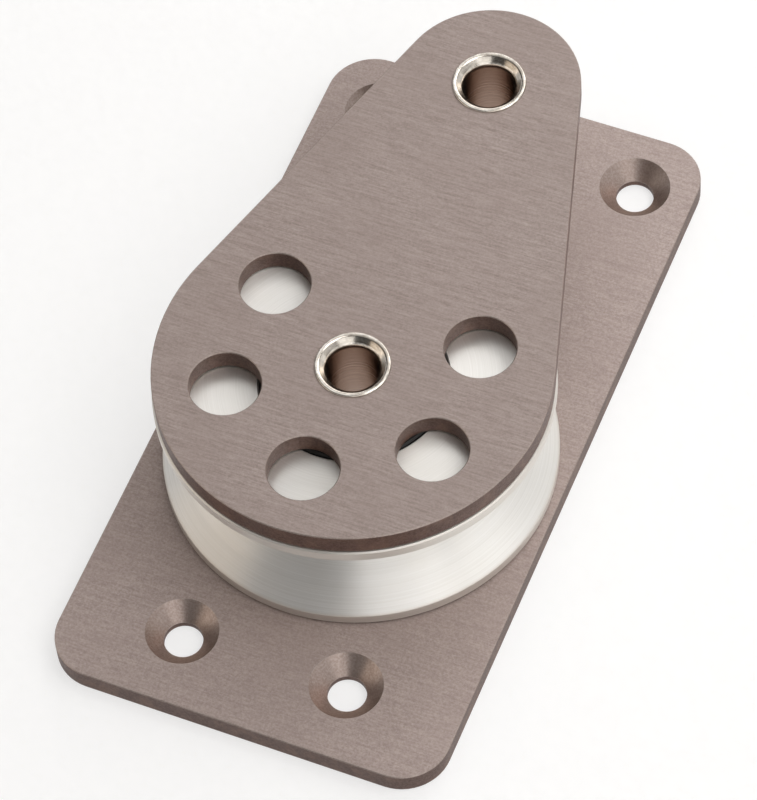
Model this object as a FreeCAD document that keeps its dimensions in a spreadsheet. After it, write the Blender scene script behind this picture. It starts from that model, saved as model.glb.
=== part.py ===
import FreeCAD, Part
import math
import os
import Sketcher

# Wire cheek block: a grooved sheave that turns between a screwed-down base plate and a teardrop
# cheek plate. Two hollow rivets hold the plates together, one through the axle and one at the head.
# X runs across the base plate, Y along it towards the head, Z up from its underside.

# Driving sizes in millimetres and degrees
SIZES = {
    # Base plate
    "plate_width": 70.0,
    "plate_thickness": 4.0,
    "plate_corner_radius": 8.3,
    # Spaces along the base plate, from the foot screws to the sheave, then to the spacer and the head
    "foot_screw_gap": 9.1,
    "wire_gap": 20.0,
    "head_rivet_inset": 17.1,
    # Screw holes, a narrow pair at the foot and a wide pair at the head
    "foot_hole_spacing": 29.5,
    "foot_hole_inset": 13.4,
    "head_hole_spacing": 48.5,
    "head_hole_inset": 11.1,
    "screw_hole_radius": 3.3,
    "screw_sink_radius": 6.25,
    "screw_sink_angle": 90.0,
    # Cheek plate
    "sheave_space": 23.0,
    "cheek_thickness": 4.0,
    "cheek_setback": 0.25,
    "cheek_head_radius": 15.8,
    "lightening_hole_radius": 6.1,
    "lightening_circle_radius": 21.3,
    "lightening_first_angle": 150.0,
    "lightening_step_angle": 60.0,
    "lightening_hole_count": 5,
    "plate_edge_break": 0.15,
    # Sheave
    "sheave_radius": 33.7,
    "rim_land": 2.1,
    "groove_angle": 90.0,
    "groove_root_radius": 2.5,
    "rim_crease_radius": 0.3,
    "rim_edge_break": 0.25,
    "sheave_bore_radius": 10.5,
    # Flanged bushes
    "flange_radius": 15.7,
    "flange_thickness": 2.0,
    "flange_stand": 0.2,
    "flange_seat_clearance": 0.2,
    "bush_gap": 0.5,
    "bush_edge_break": 0.3,
    "side_clearance": 0.1,
    # Sleeve and spacer
    "sleeve_radius": 8.0,
    "sleeve_clearance": 0.05,
    "spacer_radius": 8.0,
    "tube_edge_break": 0.3,
    # Hollow rivets
    "rivet_bore_radius": 4.4,
    "rivet_wall": 0.95,
    "rivet_hole_clearance": 0.05,
    "rivet_seat_angle": 90.0,
    "rivet_seat_clearance": 0.02,
    "flare_radius": 6.4,
    "flare_lip_width": 0.7,
    "flare_depth": 1.3,
    "flare_throat_radius": 1.5,
    "lip_height": 0.35,
    "lip_outer_round": 0.3,
    "lip_inner_round": 0.6,
    "foot_flare_recess": 0.1,
}

# Places and sizes that follow from the driving sizes
AXLE_FROM_FOOT = "(sizes.foot_hole_inset + sizes.foot_screw_gap + sizes.sheave_radius)"
HEAD_FROM_AXLE = "(sizes.sheave_radius + sizes.wire_gap + sizes.spacer_radius)"
HALF_LENGTH = f"(({AXLE_FROM_FOOT} + {HEAD_FROM_AXLE} + sizes.head_rivet_inset) / 2)"
AXLE_Y = f"({AXLE_FROM_FOOT} - {HALF_LENGTH})"
HEAD_Y = f"({HALF_LENGTH} - sizes.head_rivet_inset)"
FOOT_HOLES_Y = f"(sizes.foot_hole_inset - {HALF_LENGTH})"
HEAD_HOLES_Y = f"({HALF_LENGTH} - sizes.head_hole_inset)"
CHEEK_FOOT_RADIUS = "(sizes.sheave_radius - sizes.cheek_setback)"
PLATE_TOP = "sizes.plate_thickness"
CHEEK_UNDERSIDE = "(sizes.plate_thickness + sizes.sheave_space)"
CHEEK_TOP = f"({CHEEK_UNDERSIDE} + sizes.cheek_thickness)"

# Heights above the middle of the sheave, which is the middle of the space between the plates
SHEAVE_MIDDLE = "(sizes.plate_thickness + sizes.sheave_space / 2)"
FLANGE_FACE = "(sizes.sheave_space / 2 - sizes.side_clearance)"
SHEAVE_FACE = f"({FLANGE_FACE} - sizes.flange_stand)"
RECESS_FLOOR = f"({FLANGE_FACE} - sizes.flange_thickness)"
LAND_EDGE = f"({SHEAVE_FACE} - sizes.rim_land)"

# Radii about the axle
GROOVE_APEX = f"(sizes.sheave_radius - {LAND_EDGE} / tan(sizes.groove_angle / 2 * 1 deg))"
RECESS_RADIUS = "(sizes.flange_radius + sizes.flange_seat_clearance)"
BUSH_BORE = "(sizes.sleeve_radius + sizes.sleeve_clearance)"

# The hollow rivets and what they sit in
RIVET_RADIUS = "(sizes.rivet_bore_radius + sizes.rivet_wall)"
RIVET_HOLE = f"({RIVET_RADIUS} + sizes.rivet_hole_clearance)"
FLARE_MOUTH = "(sizes.flare_radius - sizes.flare_lip_width)"
SEAT_SLOPE = "tan(sizes.rivet_seat_angle / 2 * 1 deg)"
SEAT_RISE = f"((sizes.flare_radius - {RIVET_RADIUS}) / {SEAT_SLOPE})"
CHEEK_RIVET_SINK = "(sizes.flare_radius + sizes.rivet_seat_clearance)"
PLATE_RIVET_SINK = f"({CHEEK_RIVET_SINK} + sizes.foot_flare_recess * {SEAT_SLOPE})"

# Heights or radii that differ by less than this are the same one
SAME = 1e-4

# Codes by which a sketch constraint names a point of a line or arc, and the sketch's own axes
START_CODE, END_CODE, CENTRE_CODE = 1, 2, 3
ACROSS_CODE, UP_CODE = -1, -2
SKETCH_ORIGIN = (ACROSS_CODE, START_CODE)

SHEET = "sizes"
doc = FreeCAD.newDocument("wire_cheek_block")


def fill_sheet():
    """Put every driving size in its own cell under its own name."""
    sheet = doc.addObject("Spreadsheet::Sheet", SHEET)
    for row, (name, size) in enumerate(SIZES.items(), start=1):
        sheet.set(f"A{row}", name)
        sheet.set(f"B{row}", str(size))
        sheet.setAlias(f"B{row}", name)
    doc.recompute()


def make_gauge():
    """An object with one number, through which an expression in the sizes can be read."""
    made = doc.addObject("App::FeaturePython", "gauge")
    made.addProperty("App::PropertyFloat", "reading")
    return made


fill_sheet()
gauge = make_gauge()


def value(expression):
    """The present value of an expression in the sizes."""
    gauge.setExpression("reading", expression)
    gauge.recompute()
    return gauge.reading


def new_body(name, x="0", y="0", z="0"):
    """A body with its own origin, placed by expressions in the sizes."""
    body = doc.addObject("PartDesign::Body", name)
    body.Label = name
    for axis, place in zip("xyz", (x, y, z)):
        body.setExpression(f"Placement.Base.{axis}", place)
    return body


def origin_feature(body, role):
    """The body's own origin plane or axis of this role, such as XY_Plane."""
    return next(item for item in body.Origin.OriginFeatures if item.Role == role)


def new_sketch(body, name, plane, height=None):
    """A sketch on one of the body's origin planes, raised by height where that is given."""
    sketch = body.newObject("Sketcher::SketchObject", name)
    sketch.AttachmentSupport = [(origin_feature(body, plane), "")]
    sketch.MapMode = "FlatFace"
    if height is not None:
        sketch.setExpression("AttachmentOffset.Base.z", height)
    return sketch


def bind(sketch, name, kind, where, expression):
    """A named dimension of the sketch that follows an expression in the sizes."""
    index = sketch.addConstraint(Sketcher.Constraint(kind, *where, value(expression)))
    sketch.renameConstraint(index, name)
    sketch.setExpression(f"Constraints.{name}", expression)


def place_point(sketch, name, geometry, end, across, up):
    """Tie one point of the sketch to the sheet by its distances from the sketch's origin."""
    where = (*SKETCH_ORIGIN, geometry, end)
    if abs(value(across)) > 0:
        bind(sketch, name + "_x", "DistanceX", where, across)
    else:
        sketch.addConstraint(Sketcher.Constraint("PointOnObject", geometry, end, UP_CODE))
    if abs(value(up)) > 0:
        bind(sketch, name + "_y", "DistanceY", where, up)
    else:
        sketch.addConstraint(Sketcher.Constraint("PointOnObject", geometry, end, ACROSS_CODE))


def draw_circle(sketch, name, across, up, radius):
    """A circle whose centre and radius follow the sheet."""
    centre = FreeCAD.Vector(value(across), value(up), 0)
    circle = Part.Circle(centre, FreeCAD.Vector(0, 0, 1), value(radius))
    geometry = sketch.addGeometry(circle)
    place_point(sketch, name, geometry, CENTRE_CODE, across, up)
    bind(sketch, name + "_radius", "Radius", (geometry,), radius)


def draw_outline(sketch, corners):
    """A closed outline of straight lines through the corners, each an (across, up) pair."""
    points = [FreeCAD.Vector(value(across), value(up), 0) for across, up in corners]
    lines = [Part.LineSegment(a, b) for a, b in zip(points, points[1:] + points[:1])]
    first = sketch.addGeometry(lines)[0]
    for number, (across, up) in enumerate(corners):
        before = first + (number - 1) % len(corners)
        sketch.addConstraint(Sketcher.Constraint("Coincident", before, END_CODE, first + number, START_CODE))
        place_point(sketch, f"corner{number}", first + number, START_CODE, across, up)


def revolve_outline(body, corners):
    """A solid of revolution about the body's Z axis from (radius, height) corners."""
    sketch = new_sketch(body, body.Name + "_section", "XZ_Plane")
    draw_outline(sketch, corners)
    turned = body.newObject("PartDesign::Revolution", body.Name + "_turned")
    turned.Profile = sketch
    turned.ReferenceAxis = (sketch, ["V_Axis"])
    turned.Angle = 360
    doc.recompute()
    return turned


def pad_outline(body, sketch, name, thickness):
    """A plate of this thickness on the outline in the sketch."""
    pad = body.newObject("PartDesign::Pad", name)
    pad.Profile = sketch
    pad.setExpression("Length", thickness)
    doc.recompute()
    return pad


def edges_at_height(feature, height):
    """Names of the edges that lie wholly at one height above the body's XY plane."""
    names = []
    for number, edge in enumerate(feature.Shape.Edges, start=1):
        box = edge.BoundBox
        if max(abs(box.ZMin - height), abs(box.ZMax - height)) < SAME:
            names.append(f"Edge{number}")
    return names


def ring_edges(feature, radius, height):
    """Names of the circular edges about the body's Z axis with this radius and height."""
    names = []
    for number, edge in enumerate(feature.Shape.Edges, start=1):
        curve = edge.Curve
        if not isinstance(curve, Part.Circle):
            continue
        off_axis = math.hypot(curve.Center.x, curve.Center.y)
        misfit = max(off_axis, abs(curve.Radius - radius), abs(curve.Center.z - height))
        if misfit < SAME:
            names.append(f"Edge{number}")
    return names


def break_edges(body, base, edges, name, size, kind="Chamfer"):
    """Chamfer or round the named edges of base by a size from the sheet."""
    treatment = body.newObject("PartDesign::" + kind, name)
    treatment.Base = (base, edges)
    treatment.setExpression("Size" if kind == "Chamfer" else "Radius", size)
    doc.recompute()
    return treatment


def sunk_holes(body, sketch, name, radius, sink_radius, sink_angle, from_below=False):
    """Countersunk holes right through the plate at the circles of the sketch."""
    doc.recompute()
    hole = body.newObject("PartDesign::Hole", name)
    hole.Profile = sketch
    hole.DepthType = "ThroughAll"
    hole.ThreadType = "None"
    hole.Reversed = from_below
    hole.setExpression("Diameter", f"2 * {radius}")
    hole.HoleCutType = "Countersink"
    hole.HoleCutCustomValues = True
    hole.setExpression("HoleCutDiameter", f"2 * {sink_radius}")
    hole.setExpression("HoleCutCountersinkAngle", sink_angle)
    doc.recompute()
    return hole


def make_base_plate():
    """Rounded plate with four screw holes sunk from above and two rivet holes sunk from below."""
    body = new_body("base_plate")
    outline = new_sketch(body, "base_plate_outline", "XY_Plane")
    half_width = "sizes.plate_width / 2"
    corners = [
        (f"-{half_width}", f"-{HALF_LENGTH}"),
        (half_width, f"-{HALF_LENGTH}"),
        (half_width, HALF_LENGTH),
        (f"-{half_width}", HALF_LENGTH),
    ]
    draw_outline(outline, corners)
    pad = pad_outline(body, outline, "base_plate_blank", "sizes.plate_thickness")
    upright = []
    for number, edge in enumerate(pad.Shape.Edges, start=1):
        if edge.BoundBox.ZLength > value("sizes.plate_thickness") / 2:
            upright.append(f"Edge{number}")
    rounded = break_edges(body, pad, upright, "base_plate_corners", "sizes.plate_corner_radius", "Fillet")
    flat = edges_at_height(rounded, 0) + edges_at_height(rounded, value(PLATE_TOP))
    break_edges(body, rounded, flat, "base_plate_edge_break", "sizes.plate_edge_break")

    screws = new_sketch(body, "screw_hole_centres", "XY_Plane", PLATE_TOP)
    pairs = (
        ("foot", "sizes.foot_hole_spacing / 2", FOOT_HOLES_Y),
        ("head", "sizes.head_hole_spacing / 2", HEAD_HOLES_Y),
    )
    hole, sink, angle = "sizes.screw_hole_radius", "sizes.screw_sink_radius", "sizes.screw_sink_angle"
    for name, half_spacing, up in pairs:
        draw_circle(screws, name + "_left", f"-{half_spacing}", up, hole)
        draw_circle(screws, name + "_right", half_spacing, up, hole)
    sunk_holes(body, screws, "screw_holes", hole, sink, angle)

    rivets = new_sketch(body, "plate_rivet_centres", "XY_Plane")
    draw_circle(rivets, "axle", "0", AXLE_Y, RIVET_HOLE)
    draw_circle(rivets, "head", "0", HEAD_Y, RIVET_HOLE)
    seats = (RIVET_HOLE, PLATE_RIVET_SINK, "sizes.rivet_seat_angle")
    body.Tip = sunk_holes(body, rivets, "plate_rivet_holes", *seats, from_below=True)
    return body


def draw_teardrop(sketch):
    """Two arcs about the axle and the head, joined by their two common tangents."""
    foot, head = value(CHEEK_FOOT_RADIUS), value("sizes.cheek_head_radius")
    distance = value(HEAD_FROM_AXLE)
    lean = math.asin((foot - head) / distance)
    up, centre = FreeCAD.Vector(0, 0, 1), FreeCAD.Vector(0, distance, 0)
    around_foot, around_head = Part.Circle(FreeCAD.Vector(), up, foot), Part.Circle(centre, up, head)
    foot_arc = Part.ArcOfCircle(around_foot, math.pi - lean, 2 * math.pi + lean)
    head_arc = Part.ArcOfCircle(around_head, lean, math.pi - lean)
    right = Part.LineSegment(foot_arc.EndPoint, head_arc.StartPoint)
    left = Part.LineSegment(head_arc.EndPoint, foot_arc.StartPoint)
    foot_arc, right, head_arc, left = sketch.addGeometry([foot_arc, right, head_arc, left])
    place_point(sketch, "axle", foot_arc, CENTRE_CODE, "0", "0")
    place_point(sketch, "head", head_arc, CENTRE_CODE, "0", HEAD_FROM_AXLE)
    bind(sketch, "foot_radius", "Radius", (foot_arc,), CHEEK_FOOT_RADIUS)
    bind(sketch, "head_radius", "Radius", (head_arc,), "sizes.cheek_head_radius")
    joins = ((foot_arc, right), (right, head_arc), (head_arc, left), (left, foot_arc))
    for before, after in joins:
        sketch.addConstraint(Sketcher.Constraint("Tangent", before, END_CODE, after, START_CODE))


def make_cheek_plate():
    """Teardrop plate with a fan of lightening holes and two rivet holes sunk from above."""
    body = new_body("cheek_plate", y=AXLE_Y, z=CHEEK_UNDERSIDE)
    outline = new_sketch(body, "cheek_outline", "XY_Plane")
    draw_teardrop(outline)
    pad_outline(body, outline, "cheek_blank", "sizes.cheek_thickness")

    centre = new_sketch(body, "lightening_hole", "XY_Plane")
    angle = "sizes.lightening_first_angle * 1 deg"
    across = f"sizes.lightening_circle_radius * cos({angle})"
    up = f"sizes.lightening_circle_radius * sin({angle})"
    draw_circle(centre, "hole", across, up, "sizes.lightening_hole_radius")
    pocket = body.newObject("PartDesign::Pocket", "lightening_cut")
    pocket.Profile = centre
    pocket.Type = "ThroughAll"
    pocket.Reversed = True
    doc.recompute()
    fan = body.newObject("PartDesign::PolarPattern", "lightening_fan")
    fan.Originals = [pocket]
    fan.Axis = (origin_feature(body, "Z_Axis"), [""])
    fan.setExpression("Occurrences", "sizes.lightening_hole_count")
    fan.setExpression("Angle", "sizes.lightening_step_angle * (sizes.lightening_hole_count - 1)")
    body.Tip = fan
    doc.recompute()
    flat = edges_at_height(fan, 0) + edges_at_height(fan, value("sizes.cheek_thickness"))
    break_edges(body, fan, flat, "cheek_edge_break", "sizes.plate_edge_break")

    rivets = new_sketch(body, "cheek_rivet_centres", "XY_Plane", "sizes.cheek_thickness")
    draw_circle(rivets, "axle", "0", "0", RIVET_HOLE)
    draw_circle(rivets, "head", "0", HEAD_FROM_AXLE, RIVET_HOLE)
    seats = (RIVET_HOLE, CHEEK_RIVET_SINK, "sizes.rivet_seat_angle")
    body.Tip = sunk_holes(body, rivets, "cheek_rivet_holes", *seats)
    return body


def make_sheave():
    """Turned wheel: V groove with a round root between two lands, and a flange seat each side."""
    body = new_body("sheave", y=AXLE_Y, z=SHEAVE_MIDDLE)
    upper = [
        ("sizes.sheave_radius", LAND_EDGE),
        ("sizes.sheave_radius", SHEAVE_FACE),
        (RECESS_RADIUS, SHEAVE_FACE),
        (RECESS_RADIUS, RECESS_FLOOR),
        ("sizes.sheave_bore_radius", RECESS_FLOOR),
    ]
    lower = [(radius, f"-{height}") for radius, height in reversed(upper)]
    turned = revolve_outline(body, [(GROOVE_APEX, "0")] + upper + lower)
    root = ring_edges(turned, value(GROOVE_APEX), 0)
    rooted = break_edges(body, turned, root, "groove_root", "sizes.groove_root_radius", "Fillet")
    rim, land, face = value("sizes.sheave_radius"), value(LAND_EDGE), value(SHEAVE_FACE)
    creases = ring_edges(rooted, rim, land) + ring_edges(rooted, rim, -land)
    creased = break_edges(body, rooted, creases, "groove_creases", "sizes.rim_crease_radius", "Fillet")
    outer = ring_edges(creased, rim, face) + ring_edges(creased, rim, -face)
    mouth = value(RECESS_RADIUS)
    mouths = ring_edges(creased, mouth, face) + ring_edges(creased, mouth, -face)
    body.Tip = break_edges(body, creased, outer + mouths, "sheave_edge_break", "sizes.rim_edge_break")
    return body


def make_bush(name, facing_up):
    """Flanged bush pressed into one face of the sheave, its flange standing just proud."""
    body = new_body(name, y=AXLE_Y, z=SHEAVE_MIDDLE)
    sign = "" if facing_up else "-"
    barrel_end = "(sizes.bush_gap / 2)"
    corners = [
        (BUSH_BORE, sign + barrel_end),
        ("sizes.sheave_bore_radius", sign + barrel_end),
        ("sizes.sheave_bore_radius", sign + RECESS_FLOOR),
        ("sizes.flange_radius", sign + RECESS_FLOOR),
        ("sizes.flange_radius", sign + FLANGE_FACE),
        (BUSH_BORE, sign + FLANGE_FACE),
    ]
    turned = revolve_outline(body, corners)
    direction = 1 if facing_up else -1
    face, end = direction * value(FLANGE_FACE), direction * value(barrel_end)
    edges = ring_edges(turned, value("sizes.flange_radius"), face)
    edges += ring_edges(turned, value(BUSH_BORE), face)
    edges += ring_edges(turned, value("sizes.sheave_bore_radius"), end)
    body.Tip = break_edges(body, turned, edges, name + "_edge_break", "sizes.bush_edge_break")
    return body


def make_tube(name, y, radius):
    """Plain tube between the plates, round one of the rivets."""
    body = new_body(name, y=y, z=PLATE_TOP)
    top = "sizes.sheave_space"
    turned = revolve_outline(body, [(RIVET_HOLE, "0"), (radius, "0"), (radius, top), (RIVET_HOLE, top)])
    edges = ring_edges(turned, value(radius), 0) + ring_edges(turned, value(radius), value(top))
    body.Tip = break_edges(body, turned, edges, name + "_edge_break", "sizes.tube_edge_break")
    return body


def make_rivet(name, y):
    """Hollow rivet: a tube with a rolled lip on the cheek and a flush flare under the base plate."""
    body = new_body(name, y=y)
    lip_top = f"({CHEEK_TOP} + sizes.lip_height)"
    throat_top = f"({lip_top} - sizes.flare_depth)"
    foot = "sizes.foot_flare_recess"
    throat_foot = f"({foot} + sizes.flare_depth)"
    corners = [
        ("sizes.rivet_bore_radius", throat_foot),
        (FLARE_MOUTH, foot),
        ("sizes.flare_radius", foot),
        (RIVET_RADIUS, f"({foot} + {SEAT_RISE})"),
        (RIVET_RADIUS, f"({CHEEK_TOP} - {SEAT_RISE})"),
        ("sizes.flare_radius", CHEEK_TOP),
        ("sizes.flare_radius", lip_top),
        (FLARE_MOUTH, lip_top),
        ("sizes.rivet_bore_radius", throat_top),
    ]
    turned = revolve_outline(body, corners)
    bore = value("sizes.rivet_bore_radius")
    throats = ring_edges(turned, bore, value(throat_top)) + ring_edges(turned, bore, value(throat_foot))
    flared = break_edges(body, turned, throats, name + "_throats", "sizes.flare_throat_radius", "Fillet")
    top = value(lip_top)
    outer = ring_edges(flared, value("sizes.flare_radius"), top)
    rolled = break_edges(body, flared, outer, name + "_lip", "sizes.lip_outer_round", "Fillet")
    mouth = ring_edges(rolled, value(FLARE_MOUTH), top)
    body.Tip = break_edges(body, rolled, mouth, name + "_mouth", "sizes.lip_inner_round", "Fillet")
    return body


def check_document(bodies):
    """Stop if any object failed or any body has no sound solid."""
    doc.recompute()
    for item in doc.Objects:
        faults = {"Invalid", "Error"} & set(item.State)
        if faults:
            raise RuntimeError(f"{item.Name}: {', '.join(faults)}")
    for body in bodies:
        shape = body.Shape
        if shape.isNull() or not shape.isValid() or not shape.Solids:
            raise RuntimeError(f"{body.Label} has no valid solid")


def write_parts(bodies):
    """One STEP file for each body, under the body's own name."""
    os.makedirs("parts", exist_ok=True)
    for body in bodies:
        body.Shape.exportStep(f"parts/{body.Label}.step")
        box = body.Shape.BoundBox
        print(f"{body.Label}: volume {body.Shape.Volume:.1f}, z {box.ZMin:.2f} to {box.ZMax:.2f}")


sub_parts = [
    make_base_plate(),
    make_cheek_plate(),
    make_sheave(),
    make_bush("upper_bush", facing_up=True),
    make_bush("lower_bush", facing_up=False),
    make_tube("axle_sleeve", AXLE_Y, "sizes.sleeve_radius"),
    make_tube("head_spacer", HEAD_Y, "sizes.spacer_radius"),
    make_rivet("axle_rivet", AXLE_Y),
    make_rivet("head_rivet", HEAD_Y),
]
check_document(sub_parts)
write_parts(sub_parts)
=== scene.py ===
import math

import bpy
from mathutils import Matrix, Vector


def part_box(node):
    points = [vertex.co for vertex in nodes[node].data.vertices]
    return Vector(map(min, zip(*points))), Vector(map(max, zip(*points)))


# The wire cheek block on a pale studio floor. Metres, +Z up out of the mounting face, +Y towards the head.

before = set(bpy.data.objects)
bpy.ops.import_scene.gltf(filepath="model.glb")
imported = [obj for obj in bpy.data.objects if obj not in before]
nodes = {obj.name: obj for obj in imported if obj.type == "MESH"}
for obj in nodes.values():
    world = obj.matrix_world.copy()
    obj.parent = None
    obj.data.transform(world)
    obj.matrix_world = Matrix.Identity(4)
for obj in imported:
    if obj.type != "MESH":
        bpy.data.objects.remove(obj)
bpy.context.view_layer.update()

MM = 0.001


# Node graphs

# Where the Mix node keeps the sockets of a colour mix
MIX_FACTOR, MIX_FIRST, MIX_SECOND, MIX_RESULT = 0, 6, 7, 2

FULL = (0.0, 1.0)

# How a rounded normal's cosine to the flat one is read: no edge, and a full edge
EDGE_COSINES = (0.995, 0.9)
EDGE_SAMPLES = 6


class Graph:
    """A node tree with short calls for the nodes that the materials share."""

    def __init__(self, tree):
        self.tree = tree
        tree.nodes.clear()

    def add(self, kind, **settings):
        """A new node with these properties set."""
        node = self.tree.nodes.new(kind)
        for name, setting in settings.items():
            setattr(node, name, setting)
        return node

    def feed(self, socket, source):
        """Give a socket a fixed value, or link it to another node's output."""
        if isinstance(source, bpy.types.NodeSocket):
            self.tree.links.new(source, socket)
        else:
            socket.default_value = source

    def math(self, operation, first, second=0.0, third=0.0):
        """One Math node."""
        node = self.add("ShaderNodeMath", operation=operation)
        for socket, source in zip(node.inputs, (first, second, third)):
            self.feed(socket, source)
        return node.outputs[0]

    def weighted(self, first, first_weight, second, second_weight):
        """The sum of two values, each times its weight."""
        return self.math("MULTIPLY_ADD", first, first_weight, self.math("MULTIPLY", second, second_weight))

    def vector(self, operation, first, second):
        """One Vector Math node with a vector result."""
        node = self.add("ShaderNodeVectorMath", operation=operation)
        self.feed(node.inputs[0], first)
        self.feed(node.inputs[1], second)
        return node.outputs["Vector"]

    def dot(self, first, second):
        """The dot product of two vectors."""
        node = self.add("ShaderNodeVectorMath", operation="DOT_PRODUCT")
        self.feed(node.inputs[0], first)
        self.feed(node.inputs[1], second)
        return node.outputs["Value"]

    def split(self, vector):
        """The three parts of a vector."""
        node = self.add("ShaderNodeSeparateXYZ")
        self.feed(node.inputs[0], vector)
        return node.outputs

    def join(self, across, along, up):
        """A vector from its three parts."""
        node = self.add("ShaderNodeCombineXYZ")
        for socket, source in zip(node.inputs, (across, along, up)):
            self.feed(socket, source)
        return node.outputs[0]

    def noise(self, vector, scale, detail, roughness):
        """Noise from 0 to 1, mostly near the middle."""
        node = self.add("ShaderNodeTexNoise", noise_dimensions="3D")
        self.feed(node.inputs["Vector"], vector)
        self.feed(node.inputs["Scale"], scale)
        self.feed(node.inputs["Detail"], detail)
        self.feed(node.inputs["Roughness"], roughness)
        return node.outputs["Fac"]

    def ranged(self, source, span, result=FULL):
        """Stretch a span of the source to the result, and stop at both ends."""
        node = self.add("ShaderNodeMapRange", clamp=True)
        for socket, number in zip(node.inputs, (source, *span, *result)):
            self.feed(socket, number)
        return node.outputs[0]

    def mix(self, factor, first, second):
        """Two colours mixed: the first where the factor is 0, the second where it is 1."""
        node = self.add("ShaderNodeMix", data_type="RGBA")
        self.feed(node.inputs[MIX_FACTOR], factor)
        self.feed(node.inputs[MIX_FIRST], first)
        self.feed(node.inputs[MIX_SECOND], second)
        return node.outputs[MIX_RESULT]

    def bump(self, height, strength, distance):
        """A bumped normal from a height."""
        node = self.add("ShaderNodeBump")
        node.inputs["Strength"].default_value = strength
        node.inputs["Distance"].default_value = distance
        self.feed(node.inputs["Height"], height)
        return node.outputs["Normal"]

    def edges(self, radius):
        """1 along the sharp edges of the mesh and 0 away from them."""
        rounded = self.add("ShaderNodeBevel", samples=EDGE_SAMPLES)
        rounded.inputs["Radius"].default_value = radius
        flat = self.add("ShaderNodeNewGeometry").outputs["Normal"]
        return self.ranged(self.dot(rounded.outputs["Normal"], flat), EDGE_COSINES)

    def place(self):
        """A point's place on its own part, which turns with the part."""
        return self.add("ShaderNodeTexCoord").outputs["Object"]

    def levelness(self):
        """1 on level faces and 0 on upright ones."""
        normal = self.add("ShaderNodeTexCoord").outputs["Normal"]
        return self.math("ABSOLUTE", self.split(normal)[2])

    def turned_place(self, centre):
        """The radius and height about an upright axis through centre, and the offset from centre."""
        offset = self.vector("SUBTRACT", self.place(), centre)
        x, y, z = self.split(offset)
        radius = self.math("SQRT", self.math("ADD", self.math("MULTIPLY", x, x), self.math("MULTIPLY", y, y)))
        return radius, z, offset

    def turned_section(self, radius, height, offset, drift, drift_size):
        """A place that changes little round a turned part, so that noise on it makes rings."""
        return self.join(radius, height, self.math("MULTIPLY", self.noise(offset, *drift), drift_size))

    def shade(self, **inputs):
        """The Principled shader and the material's output. Underscores stand for spaces."""
        shader = self.add("ShaderNodeBsdfPrincipled")
        for name, source in inputs.items():
            self.feed(shader.inputs[name.replace("_", " ")], source)
        output = self.add("ShaderNodeOutputMaterial")
        self.feed(output.inputs["Surface"], shader.outputs[0])


def new_material(name):
    """An empty node material and its graph."""
    material = bpy.data.materials.new(name)
    material.use_nodes = True
    return material, Graph(material.node_tree)


def colour(red, green, blue):
    """An opaque colour."""
    return (red, green, blue, 1.0)


# Textures. Each is a noise's scale per metre, its detail and its roughness.

STREAK_STRETCH = (320.0, 3600.0, 3600.0)
SCRATCH_STRETCH = (110.0, 2200.0, 2200.0)
STRETCHED = (1.0, 3.0, 0.65)
GRAIN = (2600.0, 3.0, 0.75)
CLOUDS = (70.0, 3.0, 0.6)
RUBBED_PATCHES = (240.0, 3.0, 0.65)
ALLOY_DRIFT = (90.0, 2.0, 0.5)
ALLOY_RINGS = (4200.0, 3.0, 0.65)
ALLOY_BANDS = (700.0, 1.0, 0.5)
ALLOY_PATCHES = (60.0, 3.0, 0.6)
STEEL_DRIFT = (150.0, 2.0, 0.5)
STEEL_RINGS = (5200.0, 3.0, 0.6)
STEEL_PATCHES = (420.0, 3.0, 0.6)
TARNISHED_PATCHES = (620.0, 3.0, 0.6)
ACETAL_GRAIN = (2600.0, 3.0, 0.6)
ACETAL_CLOUDS = (120.0, 2.0, 0.5)
PAINT_GRAIN = (900.0, 2.0, 0.5)

# Most of a noise lies in here
SPREAD = (0.3, 0.7)


# Plates. A contrast is the span of a noise that makes a whole mix. A share is how much of a tone is laid on.

STREAK_WEIGHT, SCRATCH_WEIGHT = 0.6, 0.4
BRUSHED_CONTRAST = (0.39, 0.61)
CLOUD_CONTRAST, CLOUD_SHARE = (0.35, 0.7), (0.0, 0.4)
# The upright faces' tones are darker and browner, partly as the sawn finish and partly as painted shade.
SIDE_GRAIN_CONTRAST = (0.35, 0.65)
SAWN_DARK_WITH_SHADE, SAWN_PALE_WITH_SHADE = colour(0.080, 0.038, 0.028), colour(0.165, 0.093, 0.071)
RUBBED_CONTRAST, RUBBED_SHARE = (0.48, 0.68), (0.0, 0.5)
RUBBED_TONE = colour(0.250, 0.145, 0.106)
DRILLED_CONTRAST, DRILLED_SHARE = (0.38, 0.62), 0.8
DRILLED_DARK, DRILLED_PALE = colour(0.36, 0.28, 0.25), colour(0.47, 0.385, 0.345)
EDGE_WIDTH = 0.3 * MM
# Edges are lightened partly as real wear and partly as a painted edge highlight.
WORN_AND_HIGHLIGHT_CONTRAST, WORN_AND_HIGHLIGHT_SHARE = (0.4, 0.65), (0.15, 0.6)
WORN_AND_HIGHLIGHT_TONE = colour(0.50, 0.44, 0.40)
BRUSHED_BUMP, BRUSHED_DEPTH = 0.4, 0.03 * MM
PLATE_ROUGHNESS_CONTRAST, PLATE_ROUGHNESS = (0.35, 0.65), (0.55, 0.40)
WHITE = colour(1.0, 1.0, 1.0)

# A level face has a levelness of 1, an upright one 0, and the wall of a 90 degree sink 0.707
SIDE_LEVELNESS = (0.6, 0.3)
SINK_LEVELNESS = 0.707
SINK_TOLERANCE = (0.12, 0.06)

# From the plate's own surface to its drilled sinks
PLATE_TO_SINK_METAL = (0.2, 0.85)
PLATE_TO_SINK_GLOSS = (0.5, 0.1)
SINK_SMOOTHING = -0.12
# A dark glancing tint in the sinks darkens their grazing reflections, as painted shade.
SINK_GLANCING_SHADE = colour(0.30, 0.22, 0.18)


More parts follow.
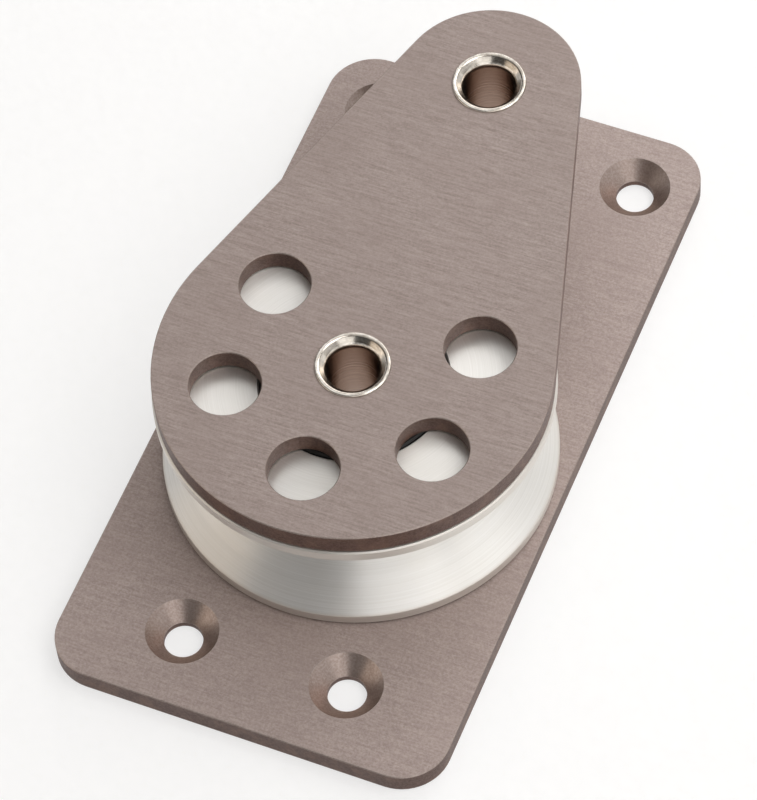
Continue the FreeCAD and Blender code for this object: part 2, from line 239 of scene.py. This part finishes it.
def brushing(graph, place, grain, streaking):
    """Streaks and longer scratches along X, over a fine grain. The share of the first two is streaking."""
    streaks = graph.noise(graph.vector("MULTIPLY", place, STREAK_STRETCH), *STRETCHED)
    scratches = graph.noise(graph.vector("MULTIPLY", place, SCRATCH_STRETCH), *STRETCHED)
    lines = graph.weighted(streaks, STREAK_WEIGHT, scratches, SCRATCH_WEIGHT)
    return graph.weighted(grain, 1.0 - streaking, lines, streaking)


def sawn_tone_and_shade(graph, place, grain):
    """The darker, browner tone of the upright faces, partly the sawn finish and partly painted shade, rubbed
    paler in patches.
    """
    tone = graph.mix(graph.ranged(grain, SIDE_GRAIN_CONTRAST), SAWN_DARK_WITH_SHADE, SAWN_PALE_WITH_SHADE)
    rubbed = graph.ranged(graph.noise(place, *RUBBED_PATCHES), RUBBED_CONTRAST, RUBBED_SHARE)
    return graph.mix(rubbed, tone, RUBBED_TONE)


def anodised_plate(name, dark, pale, cloud, streaking):
    """Brushed aluminium, hard anodised taupe, with sawn sides darkened further as painted shade, drilled
    sinks whose grazing reflections are darkened as painted shade, and worn edges lightened partly as a
    painted highlight.
    """
    material, graph = new_material(name)
    place = graph.place()
    grain = graph.noise(place, *GRAIN)
    clouds = graph.noise(place, *CLOUDS)
    brushed = brushing(graph, place, grain, streaking)
    level = graph.levelness()
    edge = graph.edges(EDGE_WIDTH)
    side = graph.ranged(level, SIDE_LEVELNESS)
    off_slope = graph.math("ABSOLUTE", graph.math("SUBTRACT", level, SINK_LEVELNESS))
    sloped = graph.ranged(off_slope, SINK_TOLERANCE)
    sink = graph.math("MULTIPLY", sloped, graph.math("SUBTRACT", 1.0, edge))
    worn_and_highlit = graph.math("MULTIPLY", edge, graph.ranged(clouds, WORN_AND_HIGHLIGHT_CONTRAST, WORN_AND_HIGHLIGHT_SHARE))
    tone = graph.mix(graph.ranged(brushed, BRUSHED_CONTRAST), dark, pale)
    tone = graph.mix(graph.ranged(clouds, CLOUD_CONTRAST, CLOUD_SHARE), tone, cloud)
    drilled = graph.mix(graph.ranged(grain, DRILLED_CONTRAST), DRILLED_DARK, DRILLED_PALE)
    tone = graph.mix(graph.math("MULTIPLY", sink, DRILLED_SHARE), tone, drilled)
    # Upright faces and hole walls take a darker, browner tone: partly the sawn finish, partly painted shade.
    tone = graph.mix(side, tone, sawn_tone_and_shade(graph, place, grain))
    # Paler edges: partly wear, partly a painted edge highlight.
    tone = graph.mix(worn_and_highlit, tone, WORN_AND_HIGHLIGHT_TONE)
    roughness = graph.ranged(brushed, PLATE_ROUGHNESS_CONTRAST, PLATE_ROUGHNESS)
    graph.shade(
        Base_Color=tone,
        Metallic=graph.ranged(sink, FULL, PLATE_TO_SINK_METAL),
        Roughness=graph.math("MULTIPLY_ADD", sink, SINK_SMOOTHING, roughness),
        Specular_IOR_Level=graph.ranged(sink, FULL, PLATE_TO_SINK_GLOSS),
        # The sinks' dark glancing tint is painted shade.
        Specular_Tint=graph.mix(sink, WHITE, SINK_GLANCING_SHADE),
        Normal=graph.bump(brushed, BRUSHED_BUMP, BRUSHED_DEPTH),
    )
    return material


# Turned alloy

ALLOY_DRIFT_SIZE = 0.4 * MM
ALLOY_DARK, ALLOY_PALE = colour(0.80, 0.782, 0.75), colour(0.89, 0.875, 0.852)
ALLOY_PATCH_CONTRAST, ALLOY_PATCH_SHARE = (0.35, 0.7), (0.0, 0.35)
ALLOY_STAIN = colour(0.81, 0.77, 0.70)
# The rims are darkened and browned as painted shade, where they sit close between the plates.
RIM_FADE_START, RIM_FADE_END = 0.4 * MM, 0.1 * MM
RIM_SHADE_SHARE = (0.0, 0.4)
RIM_PAINTED_SHADE = colour(0.60, 0.53, 0.46)
BAND_GLOSS_WEIGHT, BAND_DEPTH_WEIGHT = 0.6, 0.15
ALLOY_ROUGHNESS_CONTRAST, ALLOY_ROUGHNESS = (0.5, 1.1), (0.36, 0.45)
ALLOY_BUMP = 0.05
QUARTER_TURN = 0.25

# Of both turned metals
RING_DEPTH = 0.02 * MM


def turned_alloy(centre, rim_radius):
    """Satin turned aluminium with fine rings about the axle, stained a little in patches, with painted shade
    at the rims.
    """
    material, graph = new_material("turned_alloy")
    radius, height, offset = graph.turned_place(centre)
    section = graph.turned_section(radius, height, offset, ALLOY_DRIFT, ALLOY_DRIFT_SIZE)
    rings = graph.noise(section, *ALLOY_RINGS)
    bands = graph.noise(section, *ALLOY_BANDS)
    patches = graph.noise(offset, *ALLOY_PATCHES)
    tone = graph.mix(graph.ranged(rings, SPREAD), ALLOY_DARK, ALLOY_PALE)
    tone = graph.mix(graph.ranged(patches, ALLOY_PATCH_CONTRAST, ALLOY_PATCH_SHARE), tone, ALLOY_STAIN)
    # Painted shade at the rims.
    rim_shade = graph.ranged(radius, (rim_radius - RIM_FADE_START, rim_radius - RIM_FADE_END), RIM_SHADE_SHARE)
    tone = graph.mix(rim_shade, tone, RIM_PAINTED_SHADE)
    glossed = graph.math("MULTIPLY_ADD", bands, BAND_GLOSS_WEIGHT, rings)
    relief = graph.math("MULTIPLY_ADD", bands, BAND_DEPTH_WEIGHT, rings)
    graph.shade(
        Base_Color=tone,
        Metallic=0.85,
        Roughness=graph.ranged(glossed, ALLOY_ROUGHNESS_CONTRAST, ALLOY_ROUGHNESS),
        Anisotropic=0.7,
        Anisotropic_Rotation=QUARTER_TURN,
        Tangent=graph.add("ShaderNodeTangent", direction_type="RADIAL", axis="Z").outputs[0],
        Normal=graph.bump(relief, ALLOY_BUMP, RING_DEPTH),
    )
    return material


# Turned steel

STEEL_DRIFT_SIZE = 0.25 * MM
STEEL_PATCH_CONTRAST, STEEL_PATCH_SHARE = (0.45, 0.75), (0.0, 0.4)
TARNISH_CONTRAST, TARNISH_SHARE = (0.44, 0.66), (0.0, 0.55)
TARNISH = colour(0.34, 0.29, 0.24)
# The bore's browner tones are a painted reflection, and its dark glancing tint is painted shade.
BORE_REFLECTION_DARK, BORE_REFLECTION_PALE = colour(0.56, 0.46, 0.41), colour(0.79, 0.68, 0.61)
BORE_GLANCING_SHADE = colour(0.09, 0.065, 0.05)
PATCH_DEPTH_WEIGHT = 3.0
STEEL_BUMP = 0.3
PLAIN_DARK, PLAIN_PALE = colour(0.52, 0.50, 0.47), colour(0.66, 0.65, 0.62)
PLAIN_ROUGHNESS = (0.3, 0.42)
RIVET_DARK, RIVET_PALE = colour(0.66, 0.60, 0.53), colour(0.86, 0.82, 0.76)
RIVET_ROUGHNESS = (0.16, 0.28)

# Just outside the wall of the rivets' bore. The browner tone, a painted reflection, has gone by this many
# times the radius.
RIVET_BORE = 4.45 * MM
BORE_FADE = 1.04


def turned_steel(name, centre, dark, pale, roughness, bore_radius=0.0):
    """Steel turned about an upright axis. One with a bore has tarnished patches, a browner bore that is a
    painted reflection, and its glancing reflections in the bore darkened as painted shade.
    """
    material, graph = new_material(name)
    radius, height, offset = graph.turned_place(centre)
    section = graph.turned_section(radius, height, offset, STEEL_DRIFT, STEEL_DRIFT_SIZE)
    rings = graph.noise(section, *STEEL_RINGS)
    patches = graph.noise(offset, *STEEL_PATCHES)
    ringed = graph.ranged(rings, SPREAD)
    tone = graph.mix(ringed, dark, pale)
    tone = graph.mix(graph.ranged(patches, STEEL_PATCH_CONTRAST, STEEL_PATCH_SHARE), tone, dark)
    glancing_shade = WHITE
    if bore_radius > 0:
        tarnished = graph.ranged(graph.noise(offset, *TARNISHED_PATCHES), TARNISH_CONTRAST, TARNISH_SHARE)
        tone = graph.mix(tarnished, tone, TARNISH)
        # Inside the bore: a painted reflection in the tone, and painted shade in the glancing tint.
        outside = graph.ranged(radius, (bore_radius, BORE_FADE * bore_radius))
        tone = graph.mix(outside, graph.mix(ringed, BORE_REFLECTION_DARK, BORE_REFLECTION_PALE), tone)
        glancing_shade = graph.mix(outside, BORE_GLANCING_SHADE, WHITE)
    relief = graph.math("MULTIPLY_ADD", patches, PATCH_DEPTH_WEIGHT, rings)
    graph.shade(
        Base_Color=tone,
        Metallic=1.0,
        Specular_Tint=glancing_shade,
        Roughness=graph.ranged(rings, SPREAD, roughness),
        Normal=graph.bump(relief, STEEL_BUMP, RING_DEPTH),
    )
    return material


# Bearing plastic

ACETAL_DARK, ACETAL_PALE = colour(0.008, 0.008, 0.008), colour(0.018, 0.017, 0.016)
ACETAL_ROUGHNESS = (0.38, 0.55)
ACETAL_BUMP, ACETAL_DEPTH = 0.2, 0.03 * MM


def black_acetal():
    """Matt black bearing plastic with a fine machined grain."""
    material, graph = new_material("black_acetal")
    place = graph.place()
    grain = graph.noise(place, *ACETAL_GRAIN)
    clouds = graph.noise(place, *ACETAL_CLOUDS)
    graph.shade(
        Base_Color=graph.mix(graph.ranged(clouds, SPREAD), ACETAL_DARK, ACETAL_PALE),
        Roughness=graph.ranged(grain, SPREAD, ACETAL_ROUGHNESS),
        Normal=graph.bump(grain, ACETAL_BUMP, ACETAL_DEPTH),
    )
    return material


# The parts and their materials

# The base plate's tones are set lighter than the cheek's, as painted light.
BASE_TONES = (colour(0.312, 0.243, 0.221), colour(0.490, 0.400, 0.370), colour(0.366, 0.284, 0.260))
CHEEK_TONES = (colour(0.255, 0.199, 0.180), colour(0.410, 0.335, 0.308), colour(0.300, 0.234, 0.212))
BASE_STREAKING, CHEEK_STREAKING = 0.45, 0.62


def middle(node):
    """The middle of a CAD node's box."""
    low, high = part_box(node)
    return tuple((low + high) / 2)


def half_width(node):
    """Half of a CAD node's size along X."""
    low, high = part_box(node)
    return float(high[0] - low[0]) / 2


def dress(node, material):
    """Give a CAD node one material."""
    mesh = nodes[node].data
    mesh.materials.clear()
    mesh.materials.append(material)


dress("base_plate", anodised_plate("base_anodised", *BASE_TONES, BASE_STREAKING))
dress("cheek_plate", anodised_plate("cheek_anodised", *CHEEK_TONES, CHEEK_STREAKING))
dress("sheave", turned_alloy(middle("sheave"), half_width("sheave")))

acetal = black_acetal()
for bush in ("upper_bush", "lower_bush"):
    dress(bush, acetal)

for tube in ("axle_sleeve", "head_spacer"):
    dress(tube, turned_steel(f"{tube}_steel", middle(tube), PLAIN_DARK, PLAIN_PALE, PLAIN_ROUGHNESS))

for rivet in ("axle_rivet", "head_rivet"):
    steel = turned_steel(f"{rivet}_steel", middle(rivet), RIVET_DARK, RIVET_PALE, RIVET_ROUGHNESS, RIVET_BORE)
    dress(rivet, steel)


# Studio floor

FLOOR_DROP = 0.4 * MM
FLOOR_INNER_RADIUS = 0.25
FLOOR_RADIUS = 2.6
SWEEP_RADIUS = 0.5
WALL_TOP = 1.0
ROUND_STEPS = 96
SWEEP_STEPS = 10
PAINT_DARK, PAINT_PALE = colour(0.36, 0.355, 0.35), colour(0.40, 0.395, 0.39)
WHITE_GLOW = 0.64


def studio_sweep():
    """A round pale floor that curves up into a low wall."""
    rings = [(FLOOR_INNER_RADIUS, -FLOOR_DROP), (FLOOR_RADIUS, -FLOOR_DROP)]
    for step in range(1, SWEEP_STEPS + 1):
        turn = math.radians(90.0 * step / SWEEP_STEPS)
        out = FLOOR_RADIUS + SWEEP_RADIUS * math.sin(turn)
        rings.append((out, SWEEP_RADIUS * (1 - math.cos(turn)) - FLOOR_DROP))
    rings.append((FLOOR_RADIUS + SWEEP_RADIUS, WALL_TOP))
    points = [(0.0, 0.0, -FLOOR_DROP)]
    for out, up in rings:
        for step in range(ROUND_STEPS):
            turn = 2 * math.pi * step / ROUND_STEPS
            points.append((out * math.cos(turn), out * math.sin(turn), up))
    faces = []
    for step in range(ROUND_STEPS):
        after = (step + 1) % ROUND_STEPS
        faces.append((0, 1 + step, 1 + after))
        for ring in range(len(rings) - 1):
            low, high = 1 + ring * ROUND_STEPS, 1 + (ring + 1) * ROUND_STEPS
            faces.append((low + step, high + step, high + after, low + after))
    mesh = bpy.data.meshes.new("studio_sweep")
    mesh.from_pydata(points, [], faces)
    floor = bpy.data.objects.new("studio_sweep", mesh)
    bpy.context.scene.collection.objects.link(floor)
    return floor


def sweep_material():
    """White where the camera, metal and glass see it, with the shadow kept, and pale paint elsewhere."""
    material, graph = new_material("studio_white")
    rays = graph.add("ShaderNodeLightPath").outputs
    shown = graph.math("MAXIMUM", rays["Is Camera Ray"], rays["Is Glossy Ray"])
    shown = graph.math("MAXIMUM", shown, rays["Is Transmission Ray"])
    grain = graph.noise(graph.place(), *PAINT_GRAIN)
    paint = graph.add("ShaderNodeBsdfDiffuse")
    graph.feed(paint.inputs["Color"], graph.mix(graph.ranged(grain, SPREAD), PAINT_DARK, PAINT_PALE))
    glow = graph.add("ShaderNodeEmission")
    graph.feed(glow.inputs["Strength"], WHITE_GLOW)
    both = graph.add("ShaderNodeAddShader")
    graph.feed(both.inputs[0], paint.outputs[0])
    graph.feed(both.inputs[1], glow.outputs[0])
    mixed = graph.add("ShaderNodeMixShader")
    graph.feed(mixed.inputs[0], shown)
    graph.feed(mixed.inputs[1], paint.outputs[0])
    graph.feed(mixed.inputs[2], both.outputs[0])
    output = graph.add("ShaderNodeOutputMaterial")
    graph.feed(output.inputs["Surface"], mixed.outputs[0])
    return material


sweep = studio_sweep()
sweep.data.materials.append(sweep_material())


# Light

AIM = Vector((0.0, 0.0, 0.015))
WHITE_LIGHT, WARM_LIGHT = (1.0, 0.99, 0.975), (1.0, 0.85, 0.68)
WORLD_TINT = colour(1.0, 0.985, 0.97)
WORLD_STRENGTH = 0.08


def facing(place, target, roll=0.0):
    """The turn that points an object's -Z from place at target, its top leaning right by roll degrees."""
    back = (Vector(place) - Vector(target)).normalized()
    right = Vector((0.0, 0.0, 1.0)).cross(back).normalized()
    top = back.cross(right)
    lean = math.radians(roll)
    leant_right = right * math.cos(lean) - top * math.sin(lean)
    leant_top = top * math.cos(lean) + right * math.sin(lean)
    return Matrix((leant_right, leant_top, back)).transposed()


def place_facing(item, place, target, roll=0.0):
    """Link an object to the scene, put it at place and point it at target."""
    bpy.context.scene.collection.objects.link(item)
    item.matrix_world = Matrix.Translation(place) @ facing(place, target, roll).to_4x4()


def softbox(name, azimuth, elevation, distance, size, brightness, tint=WHITE_LIGHT):
    """A soft light, as bright as white paper at 1. Azimuth 0 is before the foot and 90 at the right."""
    width, height = size
    lamp = bpy.data.lights.new(name, "AREA")
    lamp.shape = "RECTANGLE"
    lamp.size, lamp.size_y = width, height
    lamp.energy = brightness * math.pi * width * height
    lamp.color = tint
    turn, rise = math.radians(azimuth), math.radians(elevation)
    way = Vector((math.sin(turn) * math.cos(rise), -math.cos(turn) * math.cos(rise), math.sin(rise)))
    place_facing(bpy.data.objects.new(name, lamp), AIM + way * distance, AIM)


def studio_world():
    """Plain soft light from all round."""
    world = bpy.data.worlds.new("studio")
    world.use_nodes = True
    background = world.node_tree.nodes["Background"]
    background.inputs["Color"].default_value = WORLD_TINT
    background.inputs["Strength"].default_value = WORLD_STRENGTH
    bpy.context.scene.world = world


softbox("top", azimuth=200, elevation=82, distance=1.2, size=(1.6, 1.6), brightness=0.45)
softbox("rear_top", azimuth=206, elevation=60, distance=1.0, size=(0.6, 0.6), brightness=0.55)
softbox("rear_low", azimuth=190, elevation=25, distance=0.9, size=(0.7, 0.4), brightness=1.9)
softbox("right_top", azimuth=90, elevation=60, distance=1.0, size=(0.7, 0.7), brightness=2.1)
softbox("right_near", azimuth=95, elevation=50, distance=0.4, size=(0.2, 0.2), brightness=1.2)
softbox("rear_right", azimuth=160, elevation=40, distance=0.5, size=(0.3, 0.25), brightness=2.7)
softbox("right_low", azimuth=100, elevation=22, distance=1.0, size=(1.1, 0.5), brightness=0.45)
softbox("front_right", azimuth=40, elevation=30, distance=0.8, size=(0.6, 0.5), brightness=1.15)
softbox("left", azimuth=300, elevation=20, distance=1.2, size=(1.0, 0.6), brightness=0.7, tint=WARM_LIGHT)
studio_world()


# Camera

CAMERA_PLACE = (0.1903, -0.3808, 0.6593)
CAMERA_TARGET = (0.00206, -0.00717, 0.0155)
CAMERA_ROLL = 5.48
CAMERA_LENS = 205.6
SENSOR = 36.0
NEAREST = 0.01


def make_camera():
    """A long lens from the right of the foot, high above the block."""
    lens = bpy.data.cameras.new("camera")
    lens.sensor_width = SENSOR
    lens.lens = CAMERA_LENS
    lens.clip_start = NEAREST
    camera = bpy.data.objects.new("camera", lens)
    place_facing(camera, CAMERA_PLACE, CAMERA_TARGET, CAMERA_ROLL)
    bpy.context.scene.camera = camera


make_camera()
bpy.context.scene.view_settings.view_transform = "Standard"
